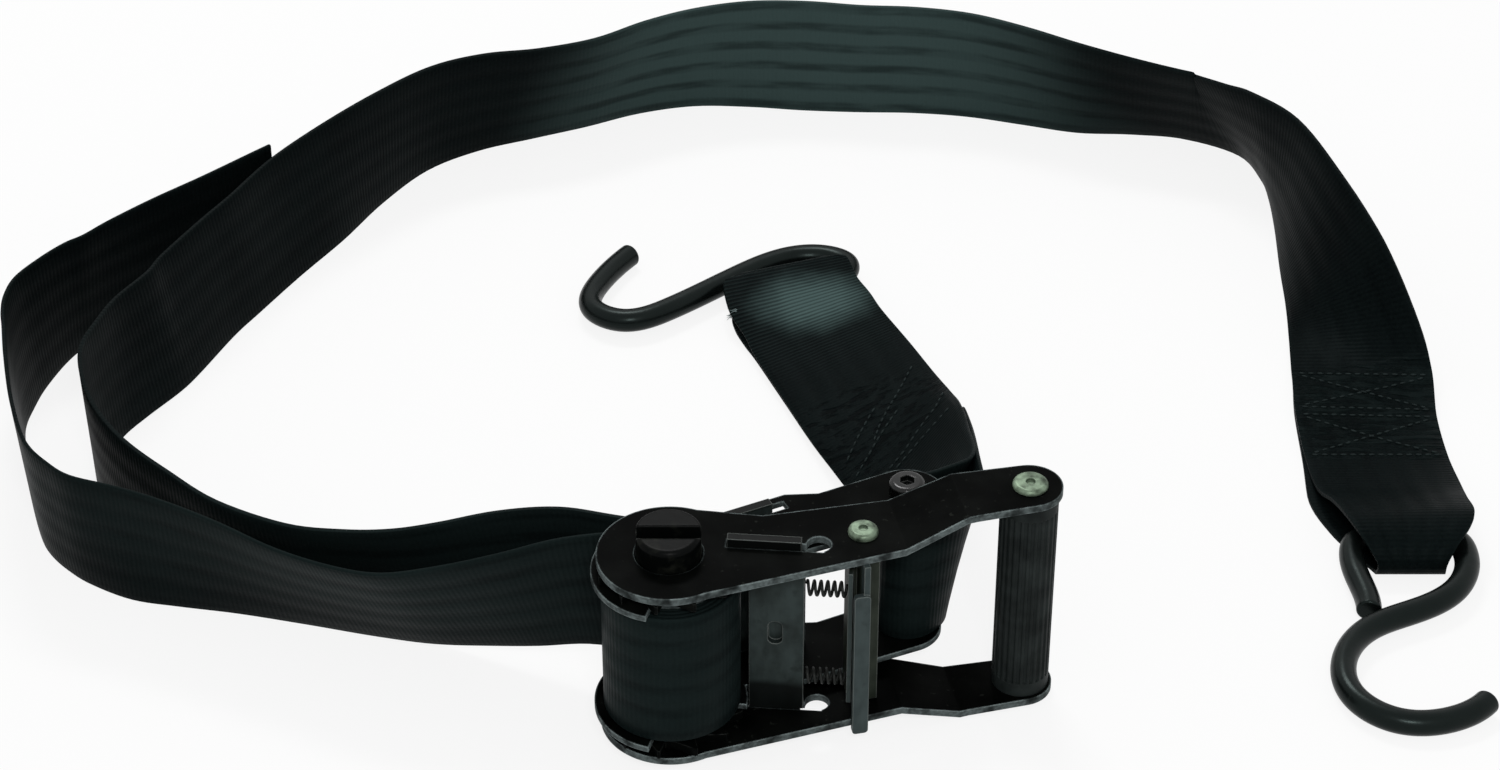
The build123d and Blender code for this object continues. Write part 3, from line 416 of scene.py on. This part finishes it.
def grip_plastic():
    """Dark grey moulded plastic, chalky on its flutes."""
    finish = Finish("grip_plastic")
    edge, rounded = finish.edge(0.0004, 0.03, 0.35)
    chalk = finish.noise(0.010, 4.0).ramp(0.30, 0.75)
    grain = finish.noise(0.0007, 2.0)
    colour = finish.mix(chalk, (0.0058, 0.0078, 0.0076), (0.0180, 0.0230, 0.0222))
    return finish.shader(
        Base_Color=finish.mix(edge * 0.5, colour, (0.034, 0.040, 0.039)),
        Roughness=0.50 + (grain - 0.5) * 0.15,
        Specular_IOR_Level=0.06,
        Normal=finish.bump(grain, 0.00006, 0.6, rounded),
    )


WEBBING = woven_webbing()
THREAD = spun("sewing_thread", 0.0012, (0.006, 0.009, 0.009), (0.024, 0.034, 0.034), 0.5, 0.05)
CUT_YARN = spun("frayed_fibre", 0.0010, (0.06, 0.085, 0.085), (0.26, 0.33, 0.33), 0.7, 0.1)
SPRING_WIRE = spun("spring_wire", 0.0015, (0.006, 0.007, 0.0065), (0.030, 0.032, 0.030), 0.38, 0.1)
PAWL_PLATE = zinc_plate("pawl_plate", (0.034, 0.046, 0.045), (0.014, 0.019, 0.018), pawl=True)
BAR_PLATE = zinc_plate("bar_plate", (0.050, 0.066, 0.066), (0.030, 0.041, 0.041))
BLACK_STEEL = blackened_steel("blackened_steel")
WHEEL_STEEL = blackened_steel("wheel_steel", wear=0.15, gloss=0.01)
BOLT_STEEL = blackened_steel("bolt_steel", wear=0.3, gloss=0.30, roughness=0.20)
PLATES = [f"{part}_plate_{side}" for part in ("frame", "handle") for side in ("upper", "lower")]
finishes = [
    (WEBBING, ["webbing_bundle", "main_strap", "tail_strap", "short_strap"]),
    (plate_paint(), [*PLATES, "frame_bridge"]),
    (BLACK_STEEL, ["bolt_spacer", "drum_half_back", "drum_half_front"]),
    (WHEEL_STEEL, ["ratchet_wheel_upper", "ratchet_wheel_lower"]),
    (BOLT_STEEL, ["fixed_bolt", "bolt_nut"]),
    (PAWL_PLATE, ["lock_pawl", "drive_pawl"]),
    (SPRING_WIRE, ["lock_pawl_springs", "drive_pawl_springs"]),
    (BAR_PLATE, ["cross_bar"]),
    (rivet_steel(), ["cross_bar_rivets", "grip_rod"]),
    (grip_plastic(), ["grip_sleeve"]),
    (hook_coating(), ["hook_long", "hook_short"]),
]
for material, names in finishes:
    for name in names:
        mesh = nodes[name].data
        mesh.materials.clear()
        mesh.materials.append(material)


# ------------------------------------------------------------------ webbing
def smoothed(points, steps):
    """Points along a smooth curve through the given ones."""
    out = []
    for index in range(len(points) - 1):
        before = points[max(index - 1, 0)]
        start, finish = points[index], points[index + 1]
        after = points[min(index + 2, len(points) - 1)]
        for step in range(steps):
            t = step / steps
            row = []
            for a, b, c, d in zip(before, start, finish, after):
                first, last = (c - a) / 2, (d - b) / 2
                bend = (2 * t**3 - 3 * t**2 + 1) * b + (t**3 - 2 * t**2 + t) * first
                row.append(bend + (3 * t**2 - 2 * t**3) * c + (t**3 - t**2) * last)
            out.append(tuple(row))
    out.append(points[-1])
    return out


def neighbours(rows, index):
    """The rows before and after this one, or the row itself at an end."""
    return rows[max(index - 1, 0)], rows[min(index + 1, len(rows) - 1)]


def upright(rows):
    """Stations of webbing on its edge: x, y and height of the lower edge, and its lean to the right."""
    out = []
    width = WEB_WIDTH / MM
    for index, (x, y, z, lean) in enumerate(rows):
        back, front = neighbours(rows, index)
        length = hypot(front[0] - back[0], front[1] - back[1])
        right = ((front[1] - back[1]) / length, -(front[0] - back[0]) / length)
        shift, rise = width * sin(radians(lean)), width * cos(radians(lean))
        out.append((x, y, z, x + shift * right[0], y + shift * right[1], z + rise))
    return out


def layer(stations, distance):
    """The same stations moved off along the webbing's own normal."""
    out = []
    for index, row in enumerate(stations):
        back, front = neighbours(stations, index)
        across = Vector(row[3:]) - Vector(row[:3])
        ahead = Vector(front[:3]) - Vector(back[:3])
        off = across.cross(ahead).normalized() * distance
        out.append(tuple(value + step for value, step in zip(row, (*off, *off))))
    return out


def piece(name, mesh, material, body, slot, *replaced):
    """A finished mesh as a piece of the object."""
    data = bpy.data.meshes.new(name)
    mesh.to_mesh(data)
    mesh.free()
    data.materials.append(material)
    made = bpy.data.objects.new(name, data)
    bpy.context.scene.collection.objects.link(made)
    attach(made, body)
    if replaced:
        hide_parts(*replaced)
    return made


def cloth_grid(rows, cells):
    """A grid of webbing whose rows are pairs of points, with its width and length as UVs in metres."""
    runs = [0.0]
    for before, after in zip(rows, rows[1:]):
        runs.append(runs[-1] + ((after[0] + after[1]) / 2 - (before[0] + before[1]) / 2).length)
    mesh = bmesh.new()
    weave = mesh.loops.layers.uv.new("weave")
    bmesh.ops.create_grid(mesh, x_segments=cells, y_segments=len(rows) - 1, size=0.5)
    spots = {}
    for vert in mesh.verts:
        share = vert.co.x + 0.5
        row = round((vert.co.y + 0.5) * (len(rows) - 1))
        spots[vert] = (share * WEB_WIDTH, runs[row])
        vert.co = rows[row][0].lerp(rows[row][1], share)
    for face in mesh.faces:
        face.smooth = True
        for loop in face.loops:
            loop[weave].uv = spots[loop.vert]
    return mesh, runs[-1]


def thicken(made):
    """Gives webbing its thickness and its soft edges."""
    wall = made.modifiers.new("thickness", "SOLIDIFY")
    wall.thickness = WEB_THICKNESS
    wall.offset = 0.0
    wall.use_even_offset = False
    soft = made.modifiers.new("selvedge", "BEVEL")
    soft.width = SELVEDGE_ROUND
    soft.segments = 2
    soft.limit_method = "ANGLE"
    soft.angle_limit = radians(SELVEDGE_ANGLE)
    return made


def edges_of(stations):
    """Pairs of points at the two edges of a strap, no wider than the webbing."""
    rows = []
    for row in smoothed(stations, WEB_STEPS):
        left = Vector(row[:3]) * MM + LAYOUT
        right = Vector(row[3:]) * MM + LAYOUT
        middle, half = (left + right) / 2, (right - left) / 2
        half *= min(1.0, WEB_WIDTH / 2 / half.length)
        rows.append((middle - half, middle + half))
    return rows


def strap(name, rows, body, node):
    """One stretch of webbing along rows of points, in place of its CAD node."""
    mesh, length = cloth_grid(rows, WEB_CELLS)
    made = thicken(piece(name, mesh, WEBBING, body, "webbing", node))
    return made


# A station is the webbing's one edge and then its other, both as x, y and z in millimetres.
main_near = [
    (-21.0, -164.3, 18.0, -21.6, -164.2, 68.0),
    (-40.0, -160.0, 17.6, -43.0, -158.0, 67.4),
    (-55.0, -154.5, 16.0, -61.0, -151.5, 65.4),
    (-70.0, -149.8, 12.5, -80.5, -148.5, 61.4),
    (-87.0, -144.5, 8.0, -99.8, -148.0, 56.2),
    (-103.0, -140.0, 4.0, -115.1, -146.4, 52.1),
    (-122.0, -134.0, 1.2, -131.0, -143.4, 49.4),
    (-146.0, -127.5, 0.5, -150.0, -139.3, 48.6),
    (-171.0, -121.5, 0.4, -173.4, -128.5, 49.6),
    (-190.0, -112.0, 0.2, -191.1, -113.4, 50.2),
    (-207.0, -96.0, 0.2, -207.5, -96.7, 50.2),
    (-218.5, -79.0, 0.2, -219.0, -79.5, 50.2),
    (-225.0, -62.0, 0.2, -226.0, -62.2, 50.2),
    (-226.5, -45.0, 0.2, -229.0, -44.6, 50.2),
    (-221.5, -30.5, 0.4, -225.2, -28.2, 50.2),
    (-214.5, -18.9, 0.4, -220.7, -15.0, 49.9),
    (-204.5, -4.2, 0.4, -212.0, 0.4, 49.6),
    (-198.7, 7.2, 0.4, -208.1, 11.4, 49.3),
    (-189.2, 29.2, 0.4, -196.6, 32.9, 49.7),
]
main_far = upright(
    [
        (-181.3, 44.0, 0.4, -9),
        (-168.4, 67.4, 0.4, -10),
        (-154.6, 90.6, 0.4, -7),
        (-141.5, 116.3, 0.2, 1),
        (-125.9, 138.5, 0.4, 7),
        (-106.8, 152.5, 0.4, 11),
        (-86.0, 161.3, 0.4, 15),
        (-65.2, 169.8, 0.4, 16),
        (-44.3, 179.5, 0.4, 13),
        (-22.6, 185.0, 0.3, 9),
        (-0.6, 184.6, 0.2, 3),
        (21.3, 182.0, 0.2, 0),
        (43.2, 180.7, 0.2, 2),
        (65.1, 180.1, 0.2, 3),
        (86.9, 177.1, 0.3, 5),
        (108.2, 171.4, 0.3, 9),
        (129.2, 165.6, 0.4, 15),
        (150.9, 164.4, 0.4, 23),
        (172.5, 160.6, 0.4, 27),
    ]
)
main_end = [
    (191.9, 149.0, 0.4, 169.0, 139.5, 43.4),
    (198.6, 132.1, 0.4, 180.4, 127.3, 46.5),
    (200.2, 118.3, 0.4, 189.0, 117.8, 49.0),
    (200.2, 98.0, 0.4, 203.8, 97.9, 50.2),
    (199.1, 71.7, 0.5, 216.3, 66.6, 47.0),
    (198.3, 45.2, 0.9, 228.7, 34.5, 39.0),
    (196.8, 26.0, 1.6, 240.0, 10.5, 20.0),
    (194.9, 3.6, 2.6, 244.4, -3.0, 7.0),
    (193.6, -20.0, 2.5, 243.4, -22.0, 2.7),
    (194.0, -45.0, 2.5, 244.0, -45.0, 2.5),
    (195.5, -66.0, 5.0, 245.0, -66.0, 6.2),
    (198.5, -80.0, 11.0, 244.4, -80.0, 11.8),
    (200.8, -92.0, 15.0, 244.6, -92.0, 15.8),
    (203.6, -100.0, 15.0, 242.0, -100.0, 15.6),
    (206.8, -106.2, 12.6, 237.4, -106.2, 12.9),
    (210.2, -110.0, 8.0, 233.8, -110.0, 8.0),
    (210.4, -109.2, 3.6, 233.6, -109.2, 3.6),
    (209.6, -104.8, 1.2, 234.4, -104.8, 1.2),
    (204.5, -96.0, 0.8, 238.0, -96.0, 0.8),
    (198.4, -85.0, 0.75, 241.0, -85.0, 0.75),
    (193.0, -68.0, 0.75, 242.6, -68.0, 0.75),
    (193.4, -45.0, 0.75, 243.4, -45.0, 0.75),
    (193.6, -20.0, 0.75, 243.4, -22.0, 0.75),
    (194.6, -6.0, 0.75, 244.2, -9.0, 0.75),
]
tail_route = [
    (-33.4, -165.6, 18.0, -33.8, -165.6, 68.0),
    (-51.7, -161.0, 17.0, -59.0, -167.5, 66.0),
    (-68.1, -157.3, 13.0, -80.0, -168.6, 60.2),
    (-84.0, -152.6, 9.0, -99.0, -167.5, 54.2),
    (-103.2, -147.1, 5.0, -117.1, -165.3, 49.6),
    (-121.9, -140.1, 2.0, -133.7, -158.6, 47.1),
    (-145.9, -132.2, 0.4, -152.6, -149.3, 46.7),
    (-169.7, -126.6, 0.4, -172.3, -138.3, 48.9),
    (-190.1, -122.9, 0.3, -191.1, -128.5, 49.9),
    (-206.2, -119.3, 0.2, -206.8, -121.6, 50.1),
    (-220.7, -111.6, 0.3, -223.0, -115.6, 50.0),
    (-229.4, -104.4, 0.3, -232.0, -108.0, 50.0),
    (-236.3, -96.4, 0.3, -239.0, -99.4, 50.0),
    (-240.8, -87.5, 0.3, -243.6, -89.0, 50.0),
    (-246.5, -70.0, 0.3, -249.3, -70.5, 50.0),
    (-252.5, -48.0, 0.3, -254.5, -48.0, 50.0),
    (-256.2, -32.2, 0.3, -257.6, -31.9, 50.0),
    (-256.8, -23.6, 0.3, -259.3, -23.4, 50.0),
    (-255.7, -14.8, 0.3, -259.9, -14.0, 50.0),
    (-253.7, -4.2, 0.3, -257.8, -3.0, 50.0),
    (-249.5, 9.0, 0.3, -250.6, 8.8, 50.0),
    (-245.4, 18.1, 0.3, -243.6, 17.4, 50.0),
    (-241.0, 24.9, 0.3, -237.4, 22.6, 50.0),
    (-232.2, 33.8, 0.3, -229.6, 31.6, 50.0),
    (-216.0, 46.4, 0.2, -215.6, 45.6, 50.0),
    (-199.6, 59.6, 0.2, -199.6, 59.6, 50.2),
    (-183.2, 75.2, 0.2, -183.2, 75.2, 50.2),
    (-177.0, 81.0, 0.2, -177.0, 81.0, 50.2),
]
doubled = [
    (55.0, -118.0, 14.0, 73.5, -117.0, 60.0),
    (46.0, -95.0, 9.0, 73.3, -90.0, 50.0),
    (39.6, -81.0, 6.4, 72.0, -68.0, 42.5),
    (31.6, -62.0, 4.6, 69.6, -47.0, 32.0),
    (22.1, -39.0, 3.0, 65.1, -24.0, 22.5),
    (12.4, -14.0, 2.5, 57.4, 2.0, 16.5),
    (2.2, 11.0, 3.0, 48.2, 28.0, 12.0),
]
layer_shift = (WEB_THICKNESS + WEB_GAP) / 2 / MM
upper_layer = layer(doubled, layer_shift)
lower_layer = layer(doubled, -layer_shift)
around_spacer = [
    (61.4, -135.0, 15.2, 74.6, -136.0, 63.4),
    (63.0, -147.5, 16.2, 69.6, -149.5, 65.8),
    (57.5, -157.4, 18.0, 58.6, -157.9, 68.0),
    (50.0, -160.0, 18.0, 50.4, -160.2, 68.0),
    (43.0, -156.6, 18.0, 43.2, -156.6, 68.0),
    (41.2, -149.0, 18.0, 41.6, -149.0, 68.0),
    (46.5, -139.0, 17.8, 49.5, -140.0, 67.6),
    (51.0, -129.5, 16.2, 62.5, -130.0, 64.6),
]
around_bar = [
    (-2.0, 22.0, 5.6, 44.0, 39.0, 12.6),
    (-7.6, 33.0, 8.6, 39.5, 49.0, 12.6),
    (-9.8, 46.0, 11.4, 36.5, 60.0, 13.0),
    (-6.8, 50.2, 11.5, 34.0, 62.2, 13.0),
    (-1.2, 53.9, 10.9, 28.0, 62.6, 11.9),
    (1.8, 56.6, 8.6, 25.2, 63.4, 8.8),
    (2.2, 57.0, 5.5, 25.2, 63.8, 5.5),
    (2.0, 56.7, 3.0, 25.2, 63.2, 3.0),
    (1.5, 55.0, 1.3, 27.0, 61.3, 1.3),
    (-2.5, 49.5, 0.8, 33.0, 59.3, 0.8),
    (-6.5, 41.0, 0.75, 38.0, 54.5, 0.8),
    (-5.5, 32.0, 0.85, 39.8, 48.0, 1.8),
    (-2.0, 22.0, 1.2, 44.0, 39.0, 6.0),
]
short_route = lower_layer[2::-1] + around_spacer + upper_layer + around_bar + lower_layer[:2:-1]

main_route = main_near + main_far + main_end
main_strap = strap("webbing_main", edges_of(main_route), "frame", "main_strap")
strap("webbing_tail", edges_of(tail_route), "frame", "tail_strap")
short_strap = strap("webbing_short", edges_of(short_route), "frame", "short_strap")

wound_rows = []
for step in range(WOUND_TURNS * WOUND_STEPS + 1):
    share = step / (WOUND_TURNS * WOUND_STEPS)
    angle = radians(WOUND_FINISH) - 2 * pi * WOUND_TURNS * (1 - share)
    radius = WOUND_INNER + (WOUND_OUTER - WOUND_INNER) * share
    spot = DRUM + Vector((radius * cos(angle), radius * sin(angle), 0))
    rise = Vector((0, 0, WEB_WIDTH / 2))
    wound_rows.append((spot - rise, spot + rise))
strap("webbing_wound", wound_rows, "drum", "webbing_bundle")


# ------------------------------------------------------------------ stitching
def sewn(name, cloth, stations, lines):
    """Rows of stitches on webbing that faces up. A line's points are (share of the width, station)."""
    bpy.context.view_layer.update()
    evaluated = bpy.context.evaluated_depsgraph_get()
    surface = BVHTree.FromObject(cloth.evaluated_get(evaluated), evaluated)
    mesh = bmesh.new()

    def over(share, station):
        """The point on top of the cloth there, and the cloth's direction."""
        index = min(int(station), len(stations) - 2)
        start, finish = stations[index], stations[index + 1]
        mixed = [a + (b - a) * (station - index) for a, b in zip(start, finish)]
        spot = Vector(mixed[:3]).lerp(Vector(mixed[3:]), share) * MM + LAYOUT
        hit, normal, _, _ = surface.ray_cast(spot + Vector((0, 0, 0.03)), Vector((0, 0, -1)))
        return (hit, normal) if hit else (spot, Vector((0, 0, 1)))

    for line in lines:
        for start, finish in zip(line, line[1:]):
            run = (over(*finish)[0] - over(*start)[0]).length
            count = max(2, round(run / STITCH_PITCH))
            for step in range(count):
                ends = []
                for way in (step + 0.5 - STITCH_SHARE / 2, step + 0.5 + STITCH_SHARE / 2):
                    ends.append(over(*(a + (b - a) * way / count for a, b in zip(start, finish))))
                (a, up), (b, _) = ends
                turn = (b - a).to_track_quat("X", "Z").to_matrix().to_4x4()
                radii = ((b - a).length / 2, THREAD_RADIUS, THREAD_RADIUS, 1.0)
                spot = Matrix.Translation((a + b) / 2 + up * THREAD_RADIUS * 0.35)
                place = spot @ turn @ Matrix.Diagonal(radii)
                bmesh.ops.create_icosphere(mesh, subdivisions=1, radius=1.0, matrix=place)
    for face in mesh.faces:
        face.smooth = True
    piece(name, mesh, THREAD, "frame", "webbing")


sewn(
    "stitching_long",
    main_strap,
    main_end,
    [
        [(0.04, 7.05), (0.96, 7.05)],
        [(0.04, 7.88), (0.96, 7.88)],
        [(0.04, 8.06), (0.96, 8.06)],
        [(0.04, 9.0), (0.96, 9.0)],
        [(0.06, 7.84), (0.94, 7.10)],
        [(0.06, 7.10), (0.94, 7.84)],
        [(0.06, 8.96), (0.94, 8.12)],
        [(0.06, 8.12), (0.94, 8.96)],
    ],
)
sewn(
    "stitching_short",
    short_strap,
    doubled,
    [
        [(0.90, 4.42), (0.46, 3.50), (0.34, 3.20)],
        [(0.94, 3.10), (0.82, 2.76), (0.47, 2.33), (0.05, 2.15)],
        [(0.10, 3.20), (0.50, 3.95)],
        [(0.08, 2.75), (0.62, 3.55)],
        [(0.08, 2.05), (0.90, 2.25)],
    ],
)

# A small tuft of cut yarn ends at the corner of the fold, in millimetres from its place.
tuft = bmesh.new()
chance = Random(7)
for _ in range(FRAYED_FIBRES):
    off = [chance.uniform(*span) for span in ((-1.2, 0.8), (-2.4, 1.6), (-3.2, 0.4))]
    root = FRAYED_PLACE * MM + LAYOUT + Vector(off) * MM
    way = Vector((-1.0, chance.uniform(-0.9, 0.25), chance.uniform(-0.5, 0.4))).normalized()
    long = chance.uniform(1.6, 3.6) * MM
    turn = way.to_track_quat("Z", "Y").to_matrix().to_4x4()
    bmesh.ops.create_cone(
        tuft,
        cap_ends=True,
        segments=6,
        radius1=FIBRE_ROOT,
        radius2=FIBRE_TIP,
        depth=long,
        matrix=Matrix.Translation(root + way * long / 2) @ turn,
    )
piece("frayed_yarn", tuft, CUT_YARN, "frame", "webbing")

# ------------------------------------------------------------------ floor, light and camera
WHITE = (1.0, 1.0, 1.0, 1.0)
PAPER = (0.86, 0.86, 0.86, 1.0)
PAPER_SHOWN_WHITE = 0.85            # share of the floor's look that is plain white, without the shadow
WORLD_LIGHT = 0.55                  # on the object, where the background shows at 1
CAMERA_PLACE = (0.00755, -1.06483, 0.8118)
CAMERA_DOWN = 37                    # degrees below level
CAMERA_LENS = 90.0

floor_mesh = bmesh.new()
bmesh.ops.create_grid(floor_mesh, x_segments=1, y_segments=1, size=4.0)
floor_data = bpy.data.meshes.new("floor")
floor_mesh.to_mesh(floor_data)
floor_mesh.free()
floor = bpy.data.objects.new("floor", floor_data)
bpy.context.scene.collection.objects.link(floor)
paper = Finish("floor_paper")
matt = paper.node("ShaderNodeBsdfDiffuse", values={"Color": PAPER})
glow = paper.node("ShaderNodeEmission", values={"Color": WHITE, "Strength": 1.0})
white = paper.background_rays() * PAPER_SHOWN_WHITE
paper.output(paper.node("ShaderNodeMixShader", values={0: white, 1: matt, 2: glow}))
floor_data.materials.append(paper.owner)

sky = Finish("studio", bpy.data.worlds)
level = sky.background_rays() * (1.0 - WORLD_LIGHT) + WORLD_LIGHT
dome = sky.node("ShaderNodeBackground", values={"Color": WHITE, "Strength": level})
sky.output(dome, "ShaderNodeOutputWorld")
bpy.context.scene.world = sky.owner


def softbox(name, spot, aim, size, power):
    """A rectangular lamp that faces a point."""
    data = bpy.data.lights.new(name, "AREA")
    data.shape = "RECTANGLE"
    data.size, data.size_y = size
    data.energy = power
    lamp = bpy.data.objects.new(name, data)
    lamp.location = spot
    lamp.rotation_euler = (Vector(aim) - Vector(spot)).to_track_quat("-Z", "Y").to_euler()
    bpy.context.scene.collection.objects.link(lamp)


softbox("key_softbox", (-0.15, 0.75, 1.25), (0, 0, 0), (0.5, 0.22), 8.0)
softbox("front_softbox", (0.12, -1.20, 1.10), (0, -0.05, 0), (0.22, 0.16), 7.5)

camera_data = bpy.data.cameras.new("camera")
camera_data.lens = CAMERA_LENS
camera_data.sensor_width = 36.0
camera_data.clip_end = 20.0
camera = bpy.data.objects.new("camera", camera_data)
camera.location = CAMERA_PLACE
camera.rotation_euler = Euler((radians(90 - CAMERA_DOWN), 0, 0))
bpy.context.scene.collection.objects.link(camera)
bpy.context.scene.camera = camera
bpy.context.scene.view_settings.view_transform = "Standard"
